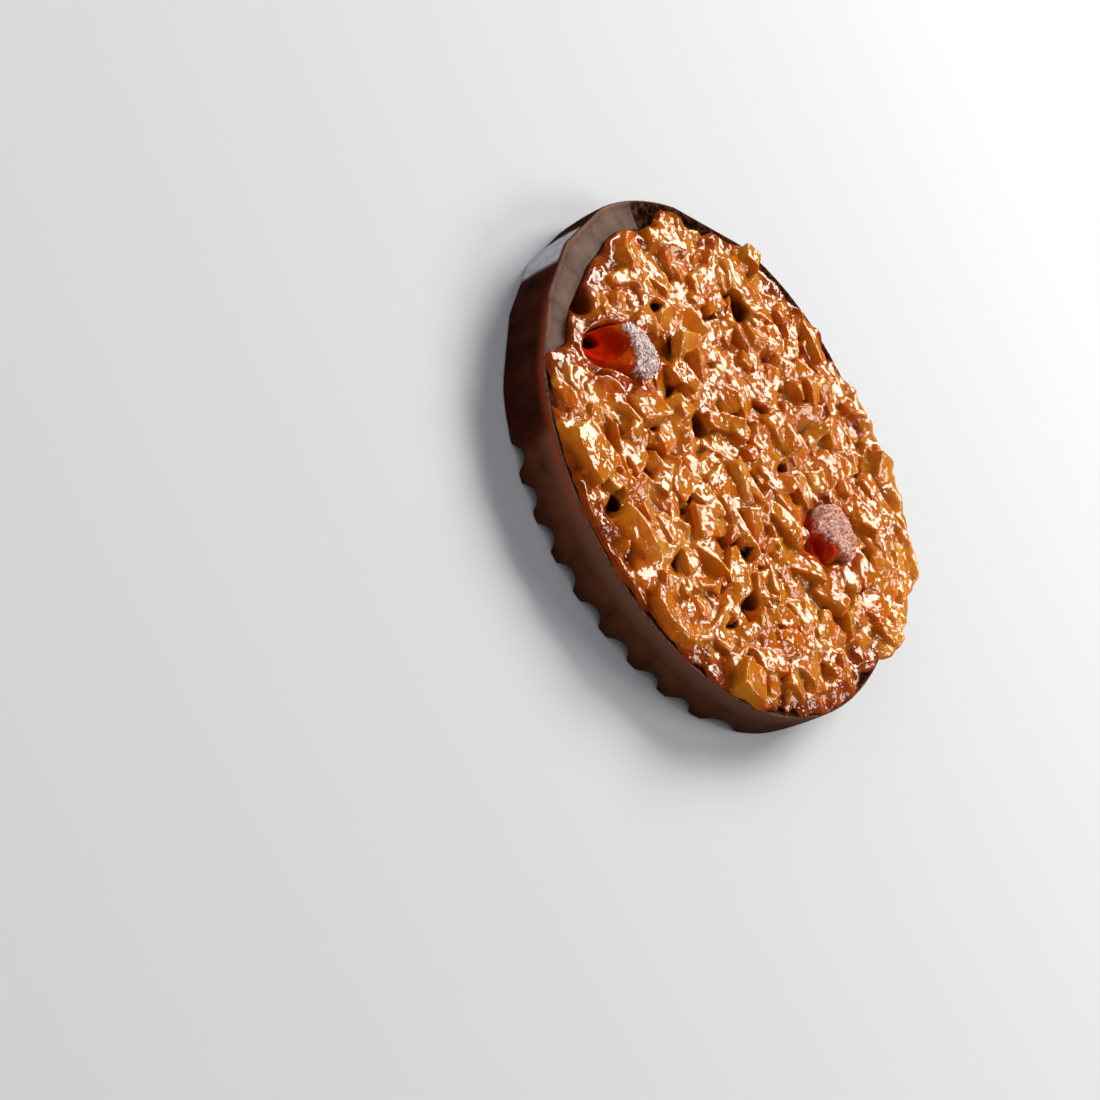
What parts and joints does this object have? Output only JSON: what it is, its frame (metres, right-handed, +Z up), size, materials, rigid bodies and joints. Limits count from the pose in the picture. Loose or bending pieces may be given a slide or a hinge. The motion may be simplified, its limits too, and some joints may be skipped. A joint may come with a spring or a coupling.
{
  "type": "florentine cookie",
  "caption": "Round florentine cookie: nibbed almonds in glossy caramel with glace cherry, seated in a dark chocolate dish with a combed underside.",
  "frame": {"origin": "Centre of the underside, on the plane that the ridges of the combed chocolate rest on.", "axes": "+Z is up through the nut side. +Y points to the side where the nuts spill over the rim, and -X to the side of the smooth chocolate lip."},
  "size_m": [0.0703, 0.0698, 0.0103],
  "materials": {
    "dark_chocolate": "dark chocolate, satin wall, smooth glossy lip",
    "almond_caramel": "glossy amber caramel over chopped almonds",
    "glace_cherry": "translucent red candied cherry, partly sugar-frosted"
  },
  "bodies": {
    "root": {"chocolate_base": "dark_chocolate", "nut_layer": "almond_caramel", "cherry_large": "glace_cherry", "cherry_small": "glace_cherry"}
  },
  "joints": []
}
